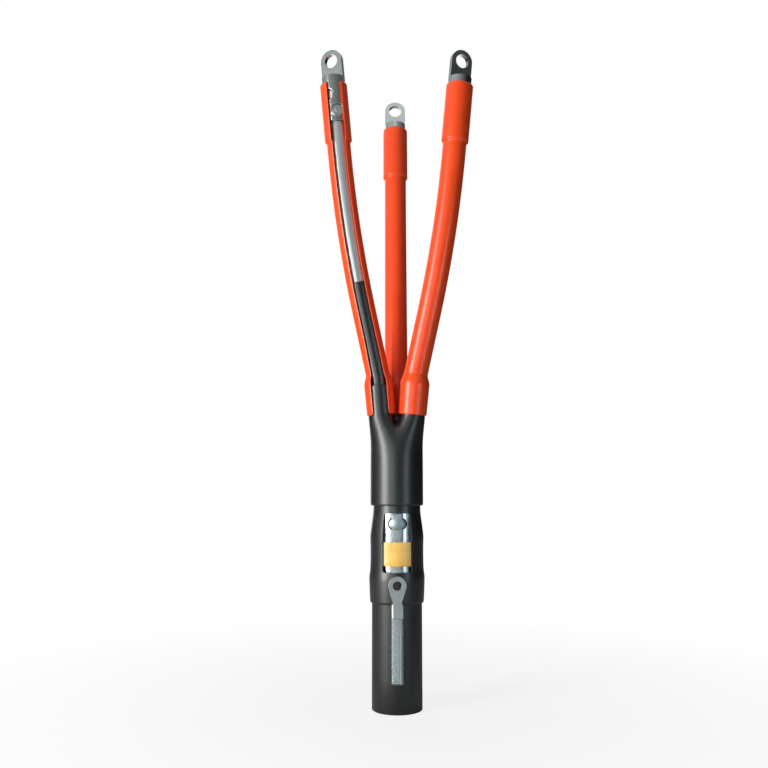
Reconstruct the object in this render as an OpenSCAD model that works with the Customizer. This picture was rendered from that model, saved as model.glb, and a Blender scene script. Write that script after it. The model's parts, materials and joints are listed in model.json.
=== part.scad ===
// Three-core heat-shrink cable termination, standing on the cut end of its cable.
// The Z axis is the cable's axis, and the front is -Y. Lengths are in millimetres.
// The left core and the cover sleeve are opened to show what lies inside.

/* [Cable] */
// Diameter over the outer sheath
cable_d = 60; // [60:0.5:72]
// Wall of the outer sheath
sheath_wall = 2.9; // [2:0.1:4]
// Length of the outer sheath from the cut end
sheath_len = 157; // [120:1:200]
// Wall of the metal sheath
metal_wall = 1.5; // [1:0.1:2]
// Length of the metal sheath above the outer sheath
bare_metal = 85; // [76:1:110]
// Least thickness of the filler outside a core
filler_web = 0.7; // [0.5:0.1:2]
// Clearance between layers that lie on each other
layer_gap = 0.1; // [0.05:0.05:0.3]

/* [Core layers] */
// Diameter of the stranded conductor
conductor_d = 13; // [9:0.5:15]
// Diameter over the insulation
insulation_d = 21.2; // [18:0.2:21.4]
// Diameter over the core screen
screen_d = 22.2; // [21.8:0.2:22.6]
// Length of the core screen above the foot of a finger
screen_out = 163.7; // [130:0.1:200]
// Diameter over the stress-control tube
stress_d = 23.6; // [23:0.2:25]
// Distance from the foot of a finger to the start of the stress-control tube
stress_in = 15.7; // [14:0.1:60]
// Length of the stress-control tube
stress_len = 220; // [190:1:310]

/* [Core route] */
// Straight length of a core above the metal sheath
core_rise = 5; // [4:0.5:12]
// Bend radius where the cores leave the lay
base_bend_r = 300; // [200:10:400]
// Lean of a finger
finger_lean = 5.6; // [4:0.1:8]
// Straight length through a finger
finger_len = 115.7; // [112:0.1:130]
// Bend radius above a finger
finger_bend_r = 60; // [40:5:120]
// Lean of the splayed core
splay_lean = 14.16; // [10:0.1:18]
// Straight length above the finger bend
splay_len = 72.7; // [40:0.1:100]
// Bend radius of the long upper curve
upper_bend_r = 1466; // [1000:1:2000]
// Lean of the straight head that carries the lug
head_lean = 6.06; // [3:0.1:9]
// Straight length of the head, up to the top of the lug
head_len = 124; // [118:1:140]

/* [Outer tube] */
// Diameter over the tube
tube_d = 29; // [27:0.2:32]
// Wall of the tube
tube_wall = 2.6; // [2:0.1:3]
// Length of the widened foot over a finger
foot_len = 36.6; // [30:0.2:39]
// Length of the cone between foot and tube
foot_cone_len = 7.5; // [5:0.5:9]
// Taper of the foot: what its radius loses towards its open end
foot_taper = 0.6; // [0:0.1:1]
// Length from the start of the straight head to the widened end
collar_start = 3.5; // [1:0.5:8]
// Length of the cone below the widened end
collar_cone_len = 4.5; // [3:0.5:8]
// Ease of the step's upper corner
collar_ease = 1; // [0.4:0.1:1.4]
// Edge radius of the widened end
collar_round = 2; // [1:0.2:2.4]
// Lug barrel left bare above the tube
bare_barrel = 9; // [4:0.5:14]
// Half angle of the opening in the left tube
cut_half = 31; // [20:1:50]
// Direction of that opening, from the core's outward side
cut_turn = 67; // [40:1:90]

/* [Lugs] */
// Diameter of the barrel and width of the palm
lug_d = 28; // [26:0.5:30]
// Length of the barrel
barrel_len = 57.6; // [56:0.2:66]
// Depth of the bore for the conductor
barrel_bore_len = 50; // [42:1:54]
// Length the conductor stops short of the bore's end
conductor_short = 2; // [0:0.5:6]
// Clearance round the conductor in the bore
barrel_bore_gap = 0.6; // [0.2:0.1:1]
// Thickness of the palm
palm_t = 6; // [4:0.5:8]
// Set-back of the palm's middle plane behind the axis
palm_back = 2; // [0:0.5:4]
// Distance from the barrel's rim to the middle of the palm's hole
palm_reach = 22; // [20:0.5:26]
// Hole in the palm for the terminal bolt
palm_hole_d = 17; // [10.5:0.5:18]
// Diameter of the shear bolts
bolt_d = 13; // [10:0.5:14]
// Diameter of the flat round each bolt
bolt_seat_d = 16.5; // [15:0.5:18]
// Depth of that flat below the barrel's skin
bolt_sink = 2.2; // [2:0.1:3]
// Height of the sheared face above that flat
bolt_stub = 0.4; // [0.2:0.1:0.5]
// Height of the torn nib on the sheared face
bolt_nib = 0.4; // [0.2:0.1:0.6]
// Height of the first bolt above the barrel's lower end
bolt_first = 13; // [11:0.5:15]
// Distance between the bolts along the barrel
bolt_pitch = 20; // [18:0.5:24]
// Angle of each bolt to the middle of the pair
bolt_stagger = 25; // [0:1:30]

/* [Breakout] */
// Outer diameter of the body
breakout_d = 64; // [63:0.5:70]
// Overlap of the body on the metal sheath
breakout_lap = 2; // [0:0.5:8]
// Height of the body up to where it turns into fingers
breakout_h = 58; // [54:1:64]
// Diameter over a finger
finger_d = 30.4; // [29:0.2:31]
// Distance the fingers end below the flare of the tubes
finger_short = 0.3; // [0.2:0.1:12]
// Height of the dome between the fingers
dome_h = 24; // [18:1:30]
// Diameter of a finger's root, inside the body
root_d = 32.8; // [31.6:0.2:34]
// Diameter of a finger's root just below the outer tube
root_top_d = 31.4; // [31:0.2:33]
// Bare length of a finger below the outer tube
root_gap = 0.5; // [0.2:0.1:3]
// Chamfer of the lower edge
edge_cut = 0.8; // [0.4:0.1:1.4]
// Depth of the solid crown above the room for the cable
crown_h = 14; // [10:1:18]

/* [Cover sleeve] */
// Overlap of the cover on the outer sheath
cover_lap = 35.5; // [27:0.5:46]
// Reach of the neck above the metal sheath, inside the breakout
neck_reach = 16; // [10:1:20]
// Wall over the outer sheath
cover_wall = 3.1; // [2.6:0.1:4]
// What the cover's radius loses towards its lip
cover_lip_drop = 1; // [0.5:0.1:1.4]
// Round of the lip's edge
lip_round = 1.2; // [0.6:0.1:1.6]
// Wall over the mastic band
bulge_wall = 2.2; // [1.6:0.1:3]
// What the cover's radius loses at the waist below the mastic band's upper edge
waist_drop = 0.4; // [0.2:0.1:0.8]
// Length of the step down above the outer sheath
cover_ramp = 7; // [5:0.5:8]
// Wall of the neck
neck_wall = 1.4; // [1:0.1:2]
// Half angle of the window
window_half = 32; // [24:1:40]
// Distance from the outer sheath's end to the window
window_rise = 4; // [3:0.5:7]
// Distance from the window to the metal sheath's end
window_drop = 11; // [8:0.5:15]
// Corner radius of the window
window_round = 2.4; // [1:0.2:4]

/* [Earth bond] */
// Width of the braid
braid_w = 12.4; // [9:0.2:14]
// Thickness of the braid without its ribs
braid_t = 1.2; // [0.8:0.1:1.4]
// Height of the ribs across the braid
rib_h = 0.25; // [0.1:0.05:0.4]
// Distance between ribs
rib_pitch = 2.3; // [1.8:0.1:4]
// Height over which the braid steps down to the metal sheath
braid_ramp = 6; // [4:0.5:6]
// Distance from the braid's soldered end to the metal sheath's end
braid_drop = 15; // [13:0.5:17]
// Length of the braid below the earth lug
braid_tail = 75.4; // [40:0.1:90]
// Width of the solder joint
solder_w = 20.8; // [16:0.2:24]
// Height of the solder joint
solder_h = 13.6; // [10:0.2:15]
// Distance from the solder joint's middle to the metal sheath's end
solder_drop = 25; // [23:0.5:28]
// Height of the upright edge round the solder joint
solder_edge = 1.2; // [0.8:0.1:1.6]
// Solder over the braid
solder_rise = 1.4; // [0.8:0.1:1.8]
// Distance from the outer sheath's end to the mastic band
band_rise = 10.5; // [8:0.5:15]
// Width of the mastic band
band_w = 28; // [20:0.5:30]
// Thickness of the mastic band over the braid
band_cover = 1; // [0.9:0.1:1.4]
// Hole in the earth lug
earth_hole_d = 10.5; // [8.4:0.1:12]
// Width of the earth lug's eye
eye_w = 21.2; // [18:0.2:24]
// Thickness of the eye
eye_t = 2.2; // [1.6:0.1:3]
// Height of the eye's middle above the cover's lip
eye_rise = 24.5; // [20:0.5:28]
// Width of the eye's neck
neck_w = 10.6; // [8:0.2:12]
// Width of the earth lug's crimped barrel
crimp_w = 14.4; // [13.6:0.1:18]
// Thickness of the crimped barrel
crimp_t = 5.4; // [4.4:0.1:7]
// Height of the crimped barrel
crimp_h = 15.7; // [14:0.1:20]
// Depth of the crimped barrel's bore for the braid
crimp_bore_h = 12.5; // [8:0.1:13.5]
// Reach of the crimped barrel above the cover's lip
crimp_rise = 3.6; // [0:0.1:6]
// Clearance between the earth lug and the cover sleeve
lug_clear = 0.4; // [0.2:0.1:1]

/* [Hidden] */
$fn = 64;

red = [0.93, 0.27, 0.13];
rubber = [0.07, 0.08, 0.08];
steel = [0.62, 0.68, 0.68];

// Heights that follow from the cable's two sheaths
metal_len = sheath_len + bare_metal;
base_len = metal_len + core_rise;
breakout_low = metal_len - breakout_lap;
breakout_shoulder = breakout_low + breakout_h;
cover_low = sheath_len - cover_lap;
cover_top = metal_len + neck_reach;
window_low = sheath_len + window_rise;
window_top = metal_len - window_drop;
band_low = sheath_len + band_rise;
braid_top = metal_len - braid_drop;
solder_z = metal_len - solder_drop;
eye_z = cover_low + eye_rise;

// Radii of the cable's layers
cable_r = cable_d / 2;
metal_r = cable_r - sheath_wall - layer_gap;
filler_r = metal_r - metal_wall - layer_gap;
core_offset = filler_r - filler_web - screen_d / 2 - layer_gap;

// Where each core stands round the axis, how its palm and its bolts face
LEFT = [210, 36, 48];
RIGHT = [330, -36, -48];
REAR = [90, 180, 180];

// Route of a core in its own radial plane: [length, change of lean] of each stretch
route = [
    [base_len, 0],
    [arc_len(base_bend_r, finger_lean), finger_lean],
    [finger_len, 0],
    [arc_len(finger_bend_r, splay_lean - finger_lean), splay_lean - finger_lean],
    [splay_len, 0],
    [arc_len(upper_bend_r, splay_lean - head_lean), head_lean - splay_lean],
    [head_len, 0]
];
function arc_len(radius, turn) = radius * turn * PI / 180;

// Overlap and extra thickness of a bend where it meets a straight stretch
seam_len = 0.5;
seam = 0.02;

function less_seam(size) = size > 0 ? size - seam : 0;

// Path length at the start of a stretch, and at the end of the route
function start_of(i) = i == 0 ? 0 : start_of(i - 1) + route[i - 1][0];
route_end = start_of(len(route));
head_start = start_of(6);

// Point that is [radius, height, lean] after a length on a stretch
function step(point, length, turn) =
    turn == 0
        ? [point[0] + length * sin(point[2]), point[1] + length * cos(point[2]), point[2]]
        : let (radius = length * 180 / PI / turn, lean = point[2] + turn)
            [
                point[0] + radius * (cos(point[2]) - cos(lean)),
                point[1] + radius * (sin(lean) - sin(point[2])),
                lean
            ];
function knot(i) = i == 0 ? [core_offset, 0, 0] : step(knot(i - 1), route[i - 1][0], route[i - 1][1]);
function stretch_at(s, i = 0) = i == len(route) - 1 || s < start_of(i + 1) ? i : stretch_at(s, i + 1);
function point_at(s) =
    let (i = stretch_at(s), part = s - start_of(i))
    step(knot(i), part, route[i][1] * part / route[i][0]);

// Stands the children on the route at path length s, with Z along the core
module on_route(s) {
    point = point_at(s);
    translate([point[0], 0, point[1]])
        rotate([0, point[2], 0])
            children();
}

// A layer of a core between two path lengths: a rod, or a tube where inner_r is more than 0
// A bend reaches into the straight stretches beside it by seam_len and is thicker by seam
module run(from, to, outer_r, inner_r = 0, half = 0) {
    for (i = [0 : len(route) - 1]) {
        low = max(from, start_of(i));
        high = min(to, start_of(i + 1));
        turn = route[i][1] * (high - low) / route[i][0];
        below = low > from ? seam_len : 0;
        above = high < to ? seam_len : 0;
        if (high - low > 2 * seam_len) {
            if (turn == 0)
                on_route(low)
                    linear_extrude(height = high - low)
                        ring(outer_r, inner_r, half);
            else
                on_route(low)
                    bend(high - low, turn, below, above)
                        ring(outer_r + seam, less_seam(inner_r), less_seam(half));
        }
    }
}

// Sweeps a section round a bend that leans outwards, or back inwards, and on past its ends
module bend(length, turn, below, above) {
    radius = length * 180 / PI / abs(turn);
    degrees = abs(turn) / length;
    sweep = (length + below + above) * degrees;
    if (turn > 0)
        translate([radius, 0, 0])
            rotate([90, 0, 180])
                rotate([0, 0, -below * degrees])
                    rotate_extrude(angle = sweep)
                        translate([radius, 0])
                            mirror([1, 0])
                                children();
    else
        translate([-radius, 0, 0])
            rotate([90, 0, 0])
                rotate([0, 0, -below * degrees])
                    rotate_extrude(angle = sweep)
                        translate([radius, 0])
                            mirror([0, 1])
                                children();
}

// Places a core's piece round the axis
module at_core(core) {
    rotate([0, 0, core[0]])
        children();
}

// Ring section of a tube, opened by a wedge where half is more than 0
module ring(outer_r, inner_r, half) {
    reach = 2 * outer_r;
    difference() {
        circle(r = outer_r);
        if (inner_r > 0)
            circle(r = inner_r);
        if (half > 0)
            rotate(cut_turn)
                polygon([[0, 0], [reach, -reach * tan(half)], [reach, reach * tan(half)]]);
    }
}

// Turns a profile of [radius, height], opened in the same way
module turned(profile, half) {
    if (half > 0)
        rotate([0, 0, cut_turn + half])
            rotate_extrude(angle = 360 - 2 * half)
                polygon(profile);
    else
        rotate_extrude()
            polygon(profile);
}

// Path lengths that the pieces of a core share
finger_low = start_of(2) + seam_len;
finger_end = start_of(3) - foot_cone_len - finger_short;
screen_end = start_of(2) + screen_out;
stress_start = start_of(2) + stress_in;
stress_end = stress_start + stress_len;
barrel_low = route_end - lug_d / 2 - palm_reach - barrel_len;
barrel_rim = barrel_low + barrel_len;
collar_end = barrel_rim - bare_barrel;
foot_start = start_of(3) - foot_cone_len - foot_len;
core_end = barrel_low - layer_gap;

// Distance of a bolt's seat from the barrel's axis
bolt_face = lug_d / 2 - bolt_sink;

// Radii that the tube and what it covers share
tube_r = tube_d / 2;
tube_bore_r = tube_r - tube_wall;
collar_bore_r = lug_d / 2 + layer_gap;
collar_r = collar_bore_r + tube_wall;
foot_bore_r = finger_d / 2 + layer_gap;
foot_r = foot_bore_r + tube_wall;

// Radii and depths of the earth bond
braid_full = braid_t + 2 * rib_h;
braid_inner_y = metal_r + layer_gap + braid_full / 2;
braid_outer_y = cable_r + layer_gap + braid_full / 2;
band_r = metal_r + 2 * layer_gap + braid_full + band_cover;
band_top = band_low + band_w;
cover_low_r = cable_r + layer_gap + cover_wall;
crimp_back_y = cover_low_r - cover_lip_drop + lug_clear;
crimp_y = crimp_back_y + crimp_t / 2;
eye_back_y = cover_low_r + lug_clear;
crimp_top = cover_low + crimp_rise;
crimp_low = crimp_top - crimp_h;
braid_fold = crimp_low - braid_tail;

module cable_outer_sheath() {
    color(rubber)
        difference() {
            cylinder(r = cable_r, h = sheath_len);
            translate([0, 0, -1])
                cylinder(r = cable_r - sheath_wall, h = sheath_len + 2);
        }
}

module metal_sheath() {
    color(steel)
        difference() {
            cylinder(r = metal_r, h = metal_len);
            translate([0, 0, -1])
                cylinder(r = metal_r - metal_wall, h = metal_len + 2);
        }
}

// Filler between the cores, with a channel for each core
module core_filler() {
    color([0.25, 0.25, 0.25])
        difference() {
            cylinder(r = filler_r, h = base_len);
            for (core = [LEFT, RIGHT, REAR])
                at_core(core)
                    translate([core_offset, 0, -1])
                        cylinder(r = screen_d / 2 + layer_gap, h = base_len + 2);
        }
}

// Cover sleeve: lip, widest over the outer sheath, waist, bulge over the band, neck
module cover_sleeve() {
    neck_bore = metal_r + layer_gap;
    band_bore = band_r + layer_gap;
    sheath_bore = cable_r + layer_gap;
    neck_r = neck_bore + neck_wall;
    bulge_r = band_bore + bulge_wall;
    waist_r = bulge_r - waist_drop;
    lip_r = cover_low_r - cover_lip_drop;
    waist_z = (sheath_len + band_top) / 2;
    color(rubber)
        difference() {
            rotate_extrude($fn = 96)
                polygon([
                    [sheath_bore, cover_low],
                    [lip_r - lip_round, cover_low],
                    [lip_r, cover_low + lip_round],
                    [cover_low_r, sheath_len - cover_ramp / 2],
                    [cover_low_r, sheath_len],
                    [(waist_r + bulge_r) / 2, sheath_len + cover_ramp],
                    [waist_r, waist_z],
                    [bulge_r, band_top + layer_gap],
                    [bulge_r, band_top + cover_ramp],
                    [neck_r, window_top],
                    [neck_r, cover_top],
                    [neck_bore, cover_top],
                    [neck_bore, band_top + layer_gap],
                    [band_bore, band_top + layer_gap],
                    [band_bore, sheath_len + layer_gap],
                    [sheath_bore, sheath_len + layer_gap]
                ]);
            window();
            braid_way();
        }
}

// Window cut with radial sides and round corners
module window() {
    reach = breakout_d;
    tall = window_top - window_low;
    corner = window_round * 180 / PI / cover_low_r;
    rotate([0, 0, 270 - window_half])
        translate([0, 0, window_low + window_round])
            wedge(2 * window_half, tall - 2 * window_round, reach);
    rotate([0, 0, 270 - window_half + corner])
        translate([0, 0, window_low])
            wedge(2 * (window_half - corner), tall, reach);
    for (side = [-1, 1], z = [window_low + window_round, window_top - window_round])
        rotate([0, 0, 270 + side * (window_half - corner)])
            translate([0, 0, z])
                rotate([0, 90, 0])
                    cylinder(r = window_round, h = reach);
}

// Sector of a disc
module wedge(angle, tall, reach) {
    rotate_extrude(angle = angle)
        square([reach, tall]);
}

// Room for the braid under the cover sleeve's lower end
module braid_way() {
    wide = braid_w + 2 * layer_gap;
    deep = cable_r + 2 * layer_gap + braid_full;
    translate([-wide / 2, -deep, cover_low - 1])
        cube([wide, deep, window_low - cover_low + 2]);
}

// Breakout: body with a domed top, three fingers out of it, and room for cover and cores
module breakout() {
    body_r = breakout_d / 2;
    root_len = foot_start - root_gap - finger_low;
    room_h = breakout_shoulder - crown_h - breakout_low;
    dome_steps = 8;
    dome = [
        for (i = [0 : dome_steps])
            let (a = 90 * i / dome_steps)
            [body_r * cos(a), breakout_shoulder + dome_h * sin(a)]
    ];
    color(rubber)
        difference() {
            union() {
                rotate_extrude($fn = 96)
                    polygon(concat(
                        [[0, breakout_low], [body_r - edge_cut, breakout_low]],
                        [[body_r, breakout_low + edge_cut]],
                        dome
                    ));
                for (core = [LEFT, RIGHT, REAR])
                    at_core(core)
                        on_route(finger_low) {
                            cylinder(d1 = root_d, d2 = root_top_d, h = root_len);
                            cylinder(d = finger_d, h = finger_end - finger_low);
                        }
            }
            translate([0, 0, breakout_low - 1])
                cylinder(r = metal_r + 2 * layer_gap + neck_wall, h = room_h + 1);
            for (core = [LEFT, RIGHT, REAR])
                at_core(core)
                    on_route(finger_low)
                        cylinder(d = stress_d + 2 * layer_gap, h = finger_end - finger_low + 1);
        }
}

module mastic_band() {
    color([0.95, 0.78, 0.3])
        translate([0, 0, band_low])
            difference() {
                cylinder(r = band_r, h = band_w);
                translate([0, 0, -1])
                    cylinder(r = metal_r + layer_gap, h = band_w + 2);
                translate([-braid_w / 2 - layer_gap, -braid_inner_y - braid_full / 2 - layer_gap, -1])
                    cube([braid_w + 2 * layer_gap, metal_r, band_w + 2]);
            }
}

// Side view of the braid: down the metal sheath, over the outer sheath, round the fold and up
module braid_side() {
    fold_r = (crimp_y - braid_outer_y) / 2;
    fold_y = (crimp_y + braid_outer_y) / 2;
    fold_z = braid_fold + fold_r + braid_full / 2;
    run_end = crimp_low + crimp_bore_h - braid_full / 2;
    ramp_low = sheath_len + braid_t;
    ramp_top = ramp_low + braid_ramp;
    half_t = braid_t / 2;
    polygon([
        [braid_inner_y - half_t, braid_top],
        [braid_inner_y - half_t, ramp_top],
        [braid_outer_y - half_t, ramp_low],
        for (a = [0 : 15 : 180])
            [fold_y - (fold_r + half_t) * cos(a), fold_z - (fold_r + half_t) * sin(a)],
        [crimp_y + half_t, run_end],
        [crimp_y - half_t, run_end],
        for (a = [180 : -15 : 0])
            [fold_y - (fold_r - half_t) * cos(a), fold_z - (fold_r - half_t) * sin(a)],
        [braid_outer_y + half_t, ramp_low],
        [braid_inner_y + half_t, ramp_top],
        [braid_inner_y + half_t, braid_top]
    ]);
}

// Flat braid with ribs across both faces where it is bare
module earth_braid() {
    rib_low = braid_fold + 2 * braid_full;
    rib_count = floor((crimp_low - rib_low - 1) / rib_pitch);
    color([0.55, 0.66, 0.68])
        translate([-braid_w / 2, 0, 0])
            rotate([90, 0, 90])
                linear_extrude(height = braid_w)
                    mirror([1, 0]) {
                        braid_side();
                        for (i = [0 : rib_count])
                            translate([crimp_y, rib_low + i * rib_pitch])
                                circle(d = braid_full, $fn = 24);
                    }
}

// Solder: an oval dome over the braid's end
module solder_joint() {
    spread = (solder_w - solder_h) / 2;
    color([0.7, 0.76, 0.76])
        difference() {
            translate([0, 0, solder_z])
                rotate([90, 0, 0]) {
                    for (side = [-1, 1])
                        translate([side * spread, 0, 0])
                            rotate_extrude($fn = 48)
                                solder_half();
                    translate([-spread, 0, 0])
                        rotate([90, 0, 90])
                            linear_extrude(height = 2 * spread) {
                                solder_half();
                                mirror([1, 0])
                                    solder_half();
                            }
                }
            cylinder(r = metal_r + layer_gap, h = metal_len);
            translate([-braid_w / 2 - layer_gap, -braid_inner_y - braid_full / 2 - layer_gap, 0])
                cube([braid_w + 2 * layer_gap, metal_r, braid_top + layer_gap]);
        }
}

// Half section of the dome, out from the cable's axis
module solder_half() {
    edge_r = solder_h / 2;
    top = braid_inner_y + braid_full / 2 + layer_gap + solder_rise;
    edge = metal_r + solder_edge;
    steps = 6;
    polygon(concat(
        [[0, 0], [edge_r, 0]],
        [
            for (i = [0 : steps])
                let (a = 90 * i / steps)
                [edge_r * cos(a), edge + (top - edge) * sin(a)]
        ]
    ));
}

// Earth lug: round eye, tapered shank and flattened crimp with its bore for the braid
module earth_lug() {
    color(steel)
        difference() {
            union() {
                translate([0, -eye_back_y, 0])
                    rotate([90, 0, 0])
                        linear_extrude(height = eye_t)
                            eye_face();
                translate([-crimp_w / 2 + crimp_t / 2, -crimp_y, crimp_low])
                    crimp_body();
            }
            translate([0, 1 - eye_back_y, eye_z])
                rotate([90, 0, 0])
                    cylinder(d = earth_hole_d, h = eye_t + 2);
            translate([-braid_w / 2 - layer_gap, -crimp_y - braid_full / 2 - layer_gap, crimp_low - 1])
                cube([braid_w + 2 * layer_gap, braid_full + 2 * layer_gap, crimp_bore_h + 1]);
        }
}

module eye_face() {
    shoulder = 20;
    side_x = eye_w / 2 * cos(shoulder);
    side_z = eye_z - eye_w / 2 * sin(shoulder);
    translate([0, eye_z])
        circle(d = eye_w);
    polygon([
        [-neck_w / 2, crimp_top - eye_t],
        [neck_w / 2, crimp_top - eye_t],
        [neck_w / 2, crimp_top + eye_t],
        [side_x, side_z],
        [-side_x, side_z],
        [-neck_w / 2, crimp_top + eye_t]
    ]);
}

module crimp_body() {
    flat = crimp_w - crimp_t;
    for (x = [0, flat])
        translate([x, 0, 0])
            cylinder(d = crimp_t, h = crimp_h);
    translate([0, -crimp_t / 2, 0])
        cube([flat, crimp_t, crimp_h]);
}

module conductor(core) {
    color([0.75, 0.76, 0.77])
        at_core(core)
            run(0, barrel_low + barrel_bore_len - conductor_short, conductor_d / 2);
}

module insulation(core) {
    color([0.9, 0.94, 0.93])
        at_core(core)
            run(0, core_end, insulation_d / 2, conductor_d / 2 + layer_gap);
}

module core_screen(core) {
    color([0.12, 0.12, 0.12])
        at_core(core)
            run(0, screen_end, screen_d / 2, insulation_d / 2 + layer_gap);
}

// Stress-control tube over the end of the core screen
module stress_tube(core) {
    color([0.09, 0.1, 0.1])
        at_core(core)
            run(stress_start, stress_end, stress_d / 2, screen_d / 2 + layer_gap);
}

// Outer tube: foot over the finger, bent tube, collar over the lug's barrel
module outer_tube(core, half) {
    foot_end = foot_len + foot_cone_len;
    collar_from = collar_start + collar_cone_len;
    collar_to = collar_end - head_start;
    color(red)
        at_core(core) {
            on_route(foot_start)
                turned([
                    [foot_bore_r, 0],
                    [foot_r - foot_taper, 0],
                    [foot_r, foot_len],
                    [tube_r, foot_end - 2 * seam_len],
                    [tube_r, foot_end],
                    [tube_bore_r, foot_end],
                    [tube_bore_r, foot_end - 2 * seam_len],
                    [foot_bore_r, foot_len]
                ], half);
            run(start_of(3) - seam_len, head_start + seam_len, tube_r, tube_bore_r, half);
            on_route(head_start)
                turned([
                    [tube_bore_r, 0],
                    [tube_r, 0],
                    [tube_r, collar_start],
                    [collar_r - collar_ease / 2, collar_from - collar_ease],
                    [collar_r, collar_from + collar_ease],
                    for (a = [0 : 30 : 90])
                        [
                            collar_r - collar_round * (1 - cos(a)),
                            collar_to - collar_round * (1 - sin(a))
                        ],
                    [collar_bore_r, collar_to],
                    [collar_bore_r, collar_from],
                    [tube_bore_r, collar_start]
                ], half);
        }
}

// Lug turned from bar: bored barrel, flat palm with its hole, seats for the bolts
module lug(core) {
    color(steel)
        at_core(core)
            on_route(barrel_low)
                difference() {
                    union() {
                        cylinder(d = lug_d, h = barrel_len);
                        rotate([0, 0, core[1]])
                            palm();
                    }
                    translate([0, 0, -1])
                        cylinder(d = conductor_d + 2 * barrel_bore_gap, h = barrel_bore_len + 1);
                    rotate([0, 0, core[1]])
                        translate([palm_t / 2 - palm_back + 1, 0, barrel_len + palm_reach])
                            rotate([0, -90, 0])
                                cylinder(d = palm_hole_d, h = palm_t + 2);
                    bolt_places(core) {
                        cylinder(d = bolt_d + 2 * layer_gap, h = lug_d);
                        translate([0, 0, bolt_face])
                            cylinder(d = bolt_seat_d, h = lug_d);
                    }
                }
}

module palm() {
    translate([-palm_t / 2 - palm_back, 0, barrel_len])
        rotate([90, 0, 90])
            linear_extrude(height = palm_t) {
                translate([-lug_d / 2, -palm_t])
                    square([lug_d, palm_reach + palm_t]);
                translate([0, palm_reach])
                    circle(d = lug_d);
            }
}

// Stands the children at each bolt, with Z out of the barrel; the upper bolt is turned first
module bolt_places(core) {
    side = core[2] < 0 ? 1 : -1;
    for (i = [0, 1])
        translate([0, 0, bolt_first + (1 - i) * bolt_pitch])
            rotate([0, 0, core[2] + side * (1 - 2 * i) * bolt_stagger])
                rotate([0, 90, 0])
                    children();
}

// Bolts sheared off just below the barrel's skin, each pressing on the conductor
module shear_bolts(core) {
    foot = conductor_d / 2 + layer_gap;
    color([0.68, 0.72, 0.7])
        at_core(core)
            on_route(barrel_low)
                bolt_places(core) {
                    translate([0, 0, foot])
                        cylinder(d = bolt_d, h = bolt_face + bolt_stub - foot);
                    translate([0, 0, foot])
                        cylinder(d = bolt_d / 2, h = bolt_face + bolt_stub + bolt_nib - foot);
                }
}

cable_outer_sheath();
metal_sheath();
core_filler();
cover_sleeve();
breakout();
mastic_band();
earth_braid();
solder_joint();
earth_lug();
conductor(LEFT);  // conductor_left
insulation(LEFT);  // insulation_left
core_screen(LEFT);  // core_screen_left
stress_tube(LEFT);  // stress_tube_left
outer_tube(LEFT, cut_half);  // outer_tube_left
lug(LEFT);  // lug_left
shear_bolts(LEFT);  // shear_bolts_left
conductor(RIGHT);  // conductor_right
insulation(RIGHT);  // insulation_right
core_screen(RIGHT);  // core_screen_right
stress_tube(RIGHT);  // stress_tube_right
outer_tube(RIGHT, 0);  // outer_tube_right
lug(RIGHT);  // lug_right
shear_bolts(RIGHT);  // shear_bolts_right
conductor(REAR);  // conductor_rear
insulation(REAR);  // insulation_rear
core_screen(REAR);  // core_screen_rear
stress_tube(REAR);  // stress_tube_rear
outer_tube(REAR, 0);  // outer_tube_rear
lug(REAR);  // lug_rear
shear_bolts(REAR);  // shear_bolts_rear
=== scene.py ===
"""Looks of a three-core heat-shrink cable termination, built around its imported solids.

Shapes are made in millimetres and brought to metres when a piece is finished.
"""
import json
import math

import bmesh
import bpy
from mathutils import Matrix, Vector


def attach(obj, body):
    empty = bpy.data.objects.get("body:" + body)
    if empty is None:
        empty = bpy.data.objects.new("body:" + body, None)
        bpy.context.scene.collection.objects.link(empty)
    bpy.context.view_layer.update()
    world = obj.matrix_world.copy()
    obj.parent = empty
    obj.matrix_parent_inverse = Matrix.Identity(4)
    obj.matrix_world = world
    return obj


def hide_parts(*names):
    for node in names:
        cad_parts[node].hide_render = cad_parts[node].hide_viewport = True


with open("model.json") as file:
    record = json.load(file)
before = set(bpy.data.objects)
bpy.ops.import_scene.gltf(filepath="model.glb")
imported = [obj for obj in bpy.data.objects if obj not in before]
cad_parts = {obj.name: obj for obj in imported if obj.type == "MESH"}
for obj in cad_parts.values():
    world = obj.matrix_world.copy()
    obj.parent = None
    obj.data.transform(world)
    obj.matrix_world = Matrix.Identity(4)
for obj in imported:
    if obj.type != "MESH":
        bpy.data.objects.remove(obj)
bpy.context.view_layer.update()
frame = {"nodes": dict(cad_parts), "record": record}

MM = 0.001
ROOT = "root"

# Sizes shared with the solids, in millimetres and degrees
CABLE_R = 30.0
METAL_R = 27.0
SHEATH_END = 157.0
METAL_END = 242.0
METAL_BORE_R = 25.5
CLEARANCE = 0.1
INSULATION_R = 10.6
CONDUCTOR_BORE_R = 6.6
STRESS_R = 11.8
SCREEN_BORE_R = 11.2
STRESS_LOW, STRESS_TOP = 292.0, 512.0
TUBE_R = 14.5
TUBE_BORE_R = 11.9
FOOT_R = 17.9
FOOT_BORE_R = 15.3
FOOT_TAPER = 0.6
COLLAR_R = 16.7
COLLAR_BORE_R = 14.1
FINGER_R = 15.2
CUT_HALF = 31.0
CUT_TURN = 62.5
FOOT_CUT_WIDER = 2.7
HEAD_CUT_WIDER = 1.5
LEFT, RIGHT, REAR = 210.0, 330.0, 90.0

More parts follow.
